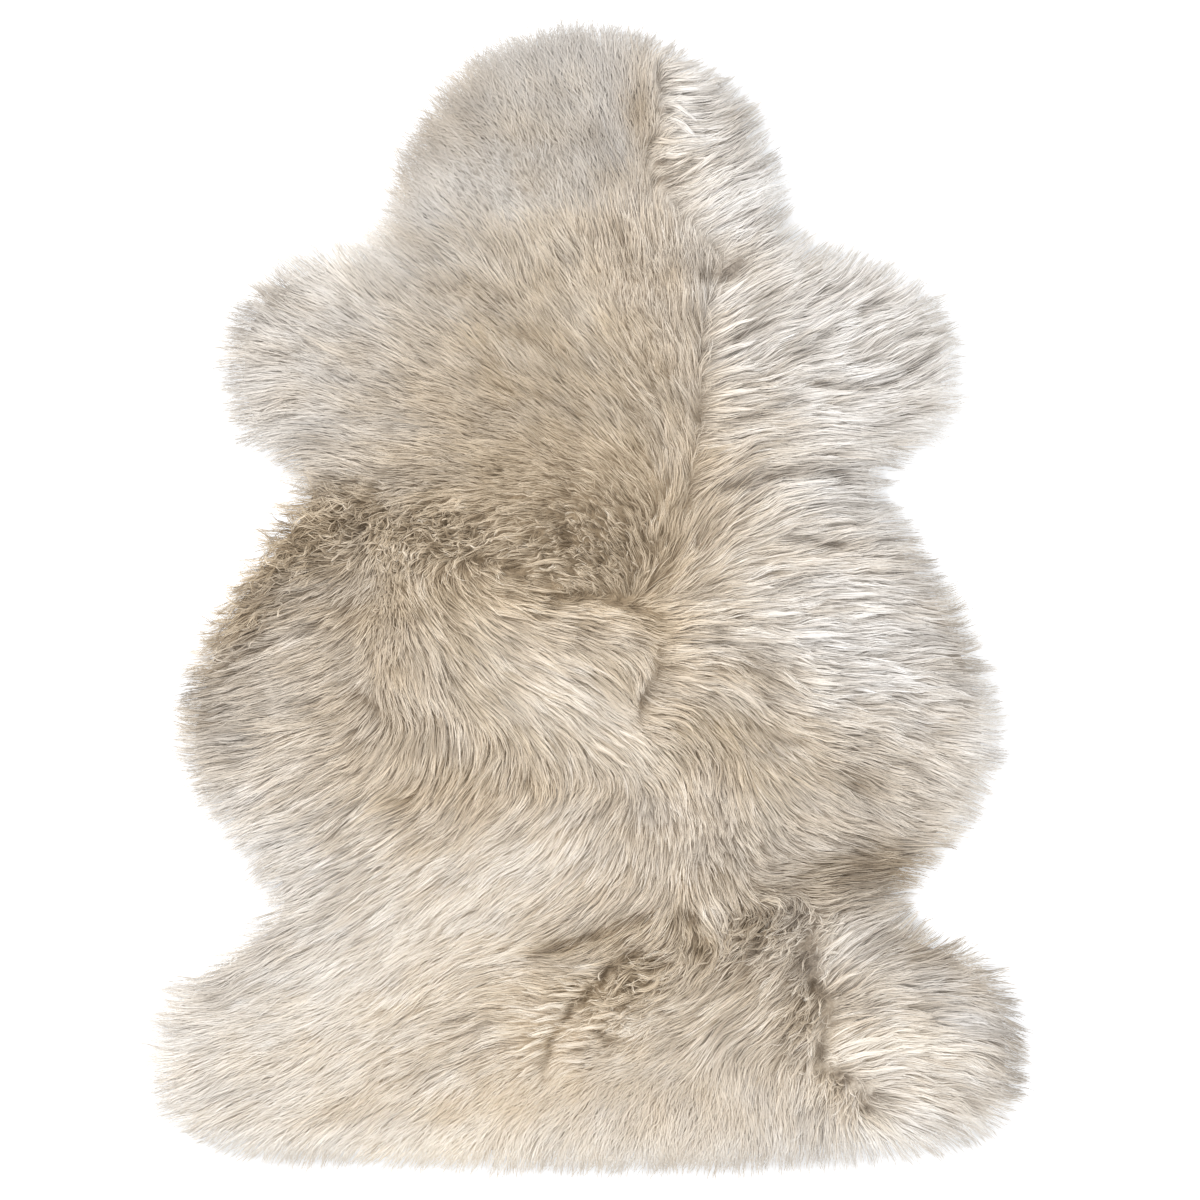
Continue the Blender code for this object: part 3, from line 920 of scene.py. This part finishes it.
def combed(place, length, turn, curl, joints):
    """Strands that run along the lie of the wool from behind their place, each turned a bit."""
    heading = heading_at(place, turn)
    beside = distance_to_lines(place, open_lines) - PARTING_GAP
    lines = [place - heading * np.clip(beside, 0, ROOT_SHIFT)[:, None]]
    for share in np.linspace(0, 1, joints)[1:]:
        lines.append(lines[-1] + heading * (length / (joints - 1))[:, None])
        heading = STIFF * heading + (1 - STIFF) * heading_at(lines[-1], turn + curl * share)
    return np.array(lines)


def kept_by_partings(lines, length, past):
    """The share of each strand that is left if it ends a little past the first parting it meets."""
    keep = np.ones(len(length))
    for start, end in parting_lines:
        across = end - start
        for joint in range(1, len(lines) - 1):
            step, away = lines[joint + 1] - lines[joint], start - lines[joint]
            turn = step[:, 0] * across[1] - step[:, 1] * across[0]
            turn = np.where(np.abs(turn) < 1e-9, 1e-9, turn)
            part = (away[:, 0] * across[1] - away[:, 1] * across[0]) / turn
            along = (away[:, 0] * step[:, 1] - away[:, 1] * step[:, 0]) / turn
            meets = (part >= 0) & (part <= 1) & (along >= 0) & (along <= 1)
            share = (joint + part) / (len(lines) - 1) + past / length
            keep = np.where(meets, np.minimum(keep, share), keep)
    return keep


def trimmed(lines, length, end, past):
    """The strands that would reach past the rim or a parting, drawn back to end near it."""
    keep = kept_by_partings(lines, length, past)
    for _ in range(5):
        over = end - edge_distance.at(read_at(lines, keep))[:, 0]
        keep = np.clip(keep - np.maximum(over, 0) / length, 0.2, 1)
    return np.array([read_at(lines, share * keep) for share in np.linspace(0, 1, len(lines))])


def swaying(lines, size, seed):
    """How each joint of the strands moves aside, a little different from place to place."""
    return np.stack([ripple(lines, size, seed), ripple(lines, size, seed + 10)], -1)


def read_along(values, lines):
    """What a map holds under each joint of the strands."""
    return np.stack([values.at(row)[:, 0] for row in lines])


def standing(lines, share, lift, drop):
    """The strands from the top of the underwool to their height, as a share of the pile's."""
    top = read_along(pile, lines)
    low = top * UNDERWOOL_SHARE
    height = low + (top * lift - low) * (1 - (1 - share) ** drop)
    return np.concatenate([lines, np.maximum(height, LOWEST)[..., None]], 2)


def grown(kind):
    """The strands of one kind of wool."""
    roots = scattered(kind.step, 0.45)
    chance = dice.random(len(roots))
    grows = chance > GIVES_WAY * patched(roots, "mess")
    if kind.where:
        grows = chance < SETS_IN * patched(roots, kind.where) - SETS_IN_LATE
    roots = roots[grows & (edge_distance.at(roots)[:, 0] > ROOT_DEPTH)]
    lock = np.repeat(np.arange(len(roots)), kind.strands)
    start = roots[lock] + dice.normal(0, kind.spread / 2, (len(lock), 2))
    tuft = nearest_of(tufts, roots)[lock]
    mess = np.clip(patched(start, "mess"), 0, 1) * (1 - CALMER_AT_RIM * at_rim(start))
    firm = np.clip(1 - patched(start, "soft"), *FIRMNESS)

    def by_lock(spread):
        return dice.normal(0, spread, len(roots))[lock]

    def by_strand(spread):
        return dice.normal(0, spread, len(lock))

    length = kind.length * fullness(start) * dice.uniform(*LOCK_LENGTHS, len(roots))[lock]
    length *= dice.uniform(*STRAND_LENGTHS, len(lock))
    loose = np.clip(1 - firm, 0, 1)
    turn = tuft_turn[tuft] * firm + by_lock(LOCK_TURN) + by_strand(STRAND_TURN) * (1 + 4 * loose)
    turn += SWERVE * ripple(start, SWERVE_SIZE, 3) + mess * by_lock(TANGLE_TURN)
    curl = kind.curl * by_lock(1) + mess * by_lock(TANGLE_CURL)
    end = tuft_end[tuft] + by_strand(STRAND_TIP)
    strays = dice.random(len(lock)) < STRAYS
    end = np.maximum(end - dice.uniform(*STRAY_REACH, len(lock)) * strays, FURTHEST_TIP)
    past = dice.uniform(*PAST_PARTING, len(lock))
    lines = trimmed(combed(start, length, turn, curl, kind.joints), length, end, past)

    # The strands of a lock draw together, those of a tuft draw towards one guide, and all sway.
    size = kind.length * fullness(tufts)
    guides = combed(tufts, size, tuft_turn, np.zeros(len(tufts)), kind.joints)
    guides = trimmed(guides, size, tuft_end, 0)
    share = np.linspace(0, 1, kind.joints)[:, None]
    middles = lines.reshape(kind.joints, len(roots), kind.strands, 2).mean(2)[:, lock]
    draw = LOCK_GATHER * np.clip(firm, 0, 1.3) * (1 - LOOSER_LOCKS_AT_RIM * at_rim(start))
    draw = draw * ~strays * share
    lines = lines + (middles - lines) * draw[..., None]
    pull = np.clip(kind.gather * firm, 0, 0.85) * (1 - 0.6 * mess) * ~strays * share**1.2
    pull *= 1 - LOOSER_AT_RIM * at_rim(start)
    lines = lines + (guides[:, tuft] - lines) * pull[..., None]
    sways = ((60, 1.1 * firm, 21), (18, 0.6 * firm**2 + mess, 22), (8, 0.3 + 1.3 * mess, 23))
    for size, reach, seed in sways:
        lines = lines + swaying(lines, size, seed) * (reach * share**0.7)[..., None]
    lines = lines + dice.normal(0, 0.25, lines.shape) * share[..., None]

    off = np.hypot(*(start - tufts[tuft]).T) / TUFT_STEP
    lift = kind.height + tuft_lift[tuft] * firm + by_lock(0.03) * firm - 0.05 * off**2 * firm
    lift = np.clip(lift - CREASE_DEPTH * read_along(crease_map, lines), *LIFTS)
    # Painted shade at the roots and a painted highlight at the tips, stronger in firm and tangled wool.
    shade = np.interp(share, [0, 0.4, 0.8, 1], [-0.22, -0.08, 0.01, 0.06]) * (firm + mess)
    light = read_along(light_map, lines) + shade
    light += tuft_light[tuft] * firm + by_lock(LOCK_LIGHT) * (firm + 2 * mess)
    light += by_strand(STRAND_LIGHT) * (0.4 + 0.6 * firm + mess)
    roll = np.radians(by_strand(STRAND_ROLL) * (0.3 + 0.7 * firm))
    warm = warm_map.at(start)[:, 0] + by_lock(LOCK_WARMTH)
    return Strands(kind, standing(lines, share, lift, TIP_DROP), light.T, roll, warm, start)


# Single locks that lie on top of the rest: where one starts, its heading there and how far it
# bends to the left in degrees, its length and width, and how much lighter it is.
Lock = namedtuple("Lock", "x y heading bend long wide light")
LOCKS = {
    "head": [
        Lock(57, 437, 4, 12, 42, 7, 0.08), Lock(58, 428, 352, 22, 40, 6, 0.08),
        Lock(58, 419, 355, 12, 42, 7, 0.06), Lock(60, 408, 348, -46, 38, 7, 0),
        Lock(61, 398, 340, -40, 36, 7, 0.03), Lock(94, 424, 12, 22, 36, 6, 0.04),
        Lock(49, 380, 342, 12, 30, 6, 0.08), Lock(57, 367, 338, 45, 32, 6, 0.1),
        Lock(60, 352, 15, 20, 32, 5, 0.05), Lock(66, 340, 28, 12, 36, 6, 0.05),
        Lock(82, 348, 36, 4, 38, 6, 0.06), Lock(104, 398, 18, 18, 36, 6, 0),
        Lock(98, 372, 28, 12, 42, 6, 0.04), Lock(112, 345, 30, 8, 42, 6, 0.04),
    ],
    "right shoulder": [
        Lock(99, 240, 32, 8, 46, 6, 0.1), Lock(113, 246, 25, 4, 42, 6, 0.08),
        Lock(97, 212, 27, -6, 48, 7, 0.1), Lock(97, 198, 20, -4, 50, 7, 0.1),
        Lock(97, 182, 15, -6, 50, 6, 0.08), Lock(96, 166, 8, -4, 50, 7, 0.1),
        Lock(95, 156, 355, 8, 46, 6, 0.06), Lock(165, 166, 6, -6, 62, 8, 0.12),
        Lock(150, 88, 12, -10, 62, 8, 0.12), Lock(205, 180, 8, 12, 60, 7, 0.08),
        Lock(170, 215, 24, 8, 56, 6, 0.08), Lock(205, 236, 26, 6, 54, 6, 0.08),
    ],
    "right side": [
        Lock(66, -22, 6, -8, 56, 5, 0.08), Lock(64, -44, 2, -4, 52, 5, 0.08),
        Lock(62, -66, 1, -12, 46, 5, 0.08), Lock(58, -88, 12, -62, 42, 5, 0.08),
        Lock(54, -98, 8, -70, 44, 5, 0.06), Lock(120, -14, 3, -6, 62, 6, 0.1),
        Lock(158, -30, 1, -2, 62, 7, 0.05), Lock(163, -64, 346, 14, 56, 6, 0.12),
        Lock(190, 2, 2, -4, 62, 6, 0.08), Lock(160, 27, 10, -10, 58, 6, 0.08),
        Lock(112, -72, 342, -42, 46, 6, 0.05), Lock(200, -100, 352, -4, 56, 6, 0.06),
    ],
    "middle": [
        Lock(-14, 32, 182, 14, 44, 6, 0.08), Lock(-62, 12, 344, 14, 50, 5, 0.08),
        Lock(-50, -8, 348, 4, 56, 6, 0.06), Lock(-60, -38, 332, -6, 56, 7, 0.08),
        Lock(-40, -58, 331, -6, 56, 7, 0.1), Lock(-24, -78, 330, -8, 50, 7, 0.08),
        Lock(8, -56, 328, -24, 44, 6, 0.06), Lock(-4, -116, 338, -22, 52, 6, 0.08),
        Lock(18, -106, 342, -26, 46, 5, 0.1), Lock(-176, 190, 160, -8, 72, 7, 0.06),
    ],
    "left of the tail": [
        Lock(14, -310, 172, 16, 36, 6, 0.04), Lock(0, -327, 174, 14, 38, 6, 0.1),
        Lock(-13, -335, 176, 18, 36, 6, 0.14), Lock(-17, -344, 182, 14, 34, 5, 0.14),
        Lock(-24, -354, 186, 14, 32, 5, 0.16), Lock(-30, -362, 190, 14, 32, 5, 0.16),
        Lock(-32, -371, 194, 14, 30, 6, 0.12), Lock(-36, -381, 202, 10, 30, 6, 0.08),
    ],
    "right of the tail": [
        Lock(40, -305, 212, 30, 34, 5, -0.02), Lock(34, -328, 214, -54, 34, 5, 0.04),
        Lock(30, -342, 180, 22, 32, 5, 0.08), Lock(22, -352, 176, 24, 36, 5, 0.08),
        Lock(8, -364, 196, -22, 40, 6, 0.06), Lock(60, -306, 262, -110, 36, 6, 0),
        Lock(72, -316, 246, -70, 32, 5, 0.02), Lock(4, -379, 186, -10, 30, 5, 0.05),
    ],
    "right foot": [
        Lock(194, -369, 44, -36, 60, 6, 0.08), Lock(196, -379, 34, -32, 64, 7, 0.12),
        Lock(200, -386, 26, -24, 64, 7, 0.12), Lock(213, -393, 16, -18, 58, 6, 0.08),
        Lock(231, -406, 2, -22, 50, 6, 0.06), Lock(236, -418, 346, -22, 46, 6, 0.06),
        Lock(190, -330, 48, -30, 50, 6, 0.06), Lock(188, -300, 52, -26, 46, 6, 0.08),
    ],
}
LOCK_STRANDS = 4.5        # strands to each millimetre of a lock's width
LOCK_STEPS = 40           # straight lengths in a lock's bend
LOCK_WOOL = Kind("single locks", 0, 0, 0, 0.5, 7, 0, 1.03, 0, 0, "")


def laid_locks():
    """The strands of the single locks: each lock runs to a point, and is fullest in its middle."""
    share = np.linspace(0, 1, LOCK_WOOL.joints)[:, None]
    bend = np.linspace(0, 1, LOCK_STEPS + 1)
    every_line, every_light, every_side = [], [], []
    for lock in [lock for rows in LOCKS.values() for lock in rows]:
        count = int(lock.wide * LOCK_STRANDS)
        side = dice.uniform(-1, 1, count)
        along = dice.uniform(0, 0.4, count) + share * dice.uniform(0.45, 0.6, count)
        spine = np.radians(lock.heading + lock.bend * bend)
        steps = np.stack([np.cos(spine), np.sin(spine)], -1) * lock.long / LOCK_STEPS
        middle = np.cumsum(steps, 0) + (lock.x, lock.y)
        spot = np.stack([np.interp(along, bend, middle[:, i]) for i in (0, 1)], -1)
        turn = np.radians(lock.heading + lock.bend * along)
        out = side * lock.wide / 2 * (1 - 0.85 * along**1.6) + dice.normal(0, 0.3, count) * share
        every_line.append(spot + np.stack([-np.sin(turn), np.cos(turn)], -1) * out[..., None])
        # Each lock is darker towards its sides: painted shade.
        every_light.append(lock.light - 0.12 * side**2)
        every_side.append(side)
    lines = np.concatenate(every_line, 1)
    side = np.concatenate(every_side)
    for size, reach, seed in ((22, 0.8, 51), (9, 0.3, 52)):
        lines = lines + swaying(lines, size, seed) * reach * share[..., None]
    lift = LOCK_WOOL.height - 0.06 * side**2 + dice.normal(0, 0.015, side.shape)
    light = read_along(light_map, lines) + np.concatenate(every_light)
    # Painted shade at the roots and a painted highlight at the tips, and strands that differ at random.
    light += np.interp(share, [0, 0.3, 0.8, 1], [-0.2, -0.04, 0, 0.03]) + dice.normal(0, 0.05, side.shape)
    roll = np.radians(dice.normal(0, 20, side.shape))
    warm = warm_map.at(lines[0])[:, 0]
    return Strands(LOCK_WOOL, standing(lines, share, lift, 2 * TIP_DROP), light.T, roll, warm, lines[0])


CHART = "OFBake"          # the UV map that holds the wool's chart
CHART_WIDTH = 0.003       # how far a strand's two sides lie from its middle on the chart
CHART_RISE = 0.0006       # how far each joint lies above the last on it


def corners_of(strands, roll, width):
    """The corners of flat, tapering strands: two at each joint and one at the tip."""
    ahead = np.gradient(strands, axis=0)
    ahead /= np.linalg.norm(ahead, axis=2)[..., None]
    level = np.cross(ahead, (0, 0, 1))
    level /= np.maximum(np.linalg.norm(level, axis=2), 1e-6)[..., None]
    across = level * np.cos(roll)[None, :, None] + np.cross(level, ahead) * np.sin(roll)[None, :, None]
    share = np.linspace(0, 1, len(strands))
    half = across * (width / 2 * np.interp(share, [0, 0.3, 0.75, 1], [0.8, 1, 0.75, 0]))[:, None, None]
    pairs = np.stack([strands - half, strands + half], 1)[:-1].reshape(-1, *strands.shape[1:])
    return np.concatenate([pairs, strands[-1:]]).transpose(1, 0, 2)


def chart_of(light, warm, joints):
    """The place of each corner on the wool's chart: across, how warm, and up, how light."""
    up = np.clip(light, 0.03, 0.97) + np.arange(joints) * CHART_RISE
    up = np.concatenate([np.repeat(up[:, :-1], 2, 1), up[:, -1:]], 1)
    sides = np.array([-CHART_WIDTH, CHART_WIDTH] * (joints - 1) + [0])
    return np.stack([np.clip(warm, 0.02, 0.98)[:, None] + sides, up], -1)


def wool_mesh(growth):
    """One mesh of all the strands that start in a growth, each a ladder of faces and a tip."""
    places, loops, sizes, chart, first = [], [], [], [], 0
    for kind, lines, light, roll, warm, start in all_wool:
        x, y = start.T
        here = (x >= growth.left) & (x < growth.right) & (y >= growth.low) & (y < growth.high)
        if not here.any():
            continue
        corners = corners_of(lines[:, here], roll[here], kind.width)
        count, each = corners.shape[:2]
        rungs = [(2 * i, 2 * i + 1, 2 * i + 3, 2 * i + 2) for i in range(kind.joints - 2)]
        faces = np.concatenate([np.ravel(rungs), [each - 3, each - 2, each - 1]])
        index = (np.arange(count)[:, None] * each + faces).ravel()
        places.append(corners.reshape(-1, 3))
        loops.append(index + first)
        sizes.append(np.tile([4] * (kind.joints - 2) + [3], count))
        chart.append(chart_of(light[here], warm[here], kind.joints).reshape(-1, 2)[index])
        first += count * each
    places, loops, sizes, chart = map(np.concatenate, (places, loops, sizes, chart))
    mesh = bpy.data.meshes.new(growth.name)
    mesh.vertices.add(len(places))
    mesh.vertices.foreach_set("co", (places * MM).astype(np.float32).ravel())
    mesh.loops.add(len(loops))
    mesh.loops.foreach_set("vertex_index", loops.astype(np.int32))
    mesh.polygons.add(len(sizes))
    mesh.polygons.foreach_set("loop_start", (np.cumsum(sizes) - sizes).astype(np.int32))
    mesh.update(calc_edges=True)
    mesh.shade_smooth()
    mesh.uv_layers.new(name=CHART).uv.foreach_set("vector", chart.astype(np.float32).ravel())
    return mesh


def combed_wool(tone):
    """The strands' material: the chart's two directions give its colour, gloss and fine grain."""
    finish = {"Sheen Weight": 0.25, "Sheen Roughness": 0.4, "Specular IOR Level": 0.3}
    material, tree, shader = new_material("wool", finish)
    chart, parts, colour = (added(tree, kind) for kind in ("UVMap", "SeparateXYZ", "Group"))
    chart.uv_map = CHART
    colour.node_tree = tone
    stretch = added(tree, "Mapping", {"Scale": (500, 40, 1)})
    grain = added(tree, "TexNoise", {"Scale": 1})
    wired(
        tree,
        (chart, "UV", parts, "Vector"),
        (parts, "X", colour, "Warmth"),
        (parts, "Y", colour, "Lightness"),
        (colour, "Color", shader, "Base Color"),
        (chart, "UV", stretch, "Vector"),
        (stretch, "Vector", grain, "Vector"),
    )
    bump = {"Distance": 0.0002, "Strength": 0.3}
    textured(tree, shader, (grain, "Fac"), bump, (parts, "Y"), (0.9, 0.55))
    return material


# The wool is kept in seven pieces by where it grows, from the head to the haunches.
Growth = namedtuple("Growth", "name left right low high")
GROWTHS = [
    Growth("wool_head", -600, 600, 262, 600),
    Growth("wool_shoulders", -600, 600, 128, 262),
    Growth("wool_back", -600, 600, -8, 128),
    Growth("wool_belly", -600, 600, -130, -8),
    Growth("wool_loin", -600, 600, -280, -130),
    Growth("wool_left_haunch", -600, 0, -600, -280),
    Growth("wool_right_haunch", 0, 600, -600, -280),
]
wool = combed_wool(tone)
all_wool = [*(grown(kind) for kind in KINDS), laid_locks()]
for growth in GROWTHS:
    piece = placed(growth.name, wool_mesh(growth))
    piece.data.materials.append(wool)
    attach(piece, "root")
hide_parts("sheepskin")


# ---------------------------------------------------------------------------------------------
# The floor, the studio light and the camera straight above the rug.
# ---------------------------------------------------------------------------------------------
CAMERA_PLACE = (9.3, -1.5, 2367)
CAMERA_LENS = 85

bpy.ops.mesh.primitive_plane_add(size=8)
floor = bpy.context.object
floor.name = "floor"
paper, _, _ = new_material(
    "floor",
    {
        "Base Color": (0.89, 0.91, 0.94, 1),
        "Roughness": 1,
        "Specular IOR Level": 0,
        "Emission Color": (1, 1, 1, 1),
        "Emission Strength": 0.25,
    },
)
floor.data.materials.append(paper)

Lamp = namedtuple("Lamp", "name x y z size watts")
for lamp in [
    Lamp("key", -1.7, 0.9, 1.7, 1.2, 48),
    Lamp("fill", 1.5, -0.6, 2.2, 2.0, 20),
    Lamp("top", 0.0, 0.3, 3.2, 2.5, 42),
]:
    data = bpy.data.lights.new(lamp.name, "AREA")
    data.size, data.energy = lamp.size, lamp.watts
    lit = placed(lamp.name, data)
    lit.location = (lamp.x, lamp.y, lamp.z)
    lit.rotation_euler = (-lit.location).to_track_quat("-Z", "Y").to_euler()

world = bpy.data.worlds.new("studio")
world.use_nodes = True
set_inputs(world.node_tree.nodes["Background"], {"Color": (1, 1, 1, 1), "Strength": 0.6})
bpy.context.scene.world = world
bpy.context.scene.view_settings.view_transform = "Standard"

camera_data = bpy.data.cameras.new("camera")
camera_data.lens = CAMERA_LENS
camera = placed("camera", camera_data)
camera.location = Vector(CAMERA_PLACE) * MM
bpy.context.scene.camera = camera
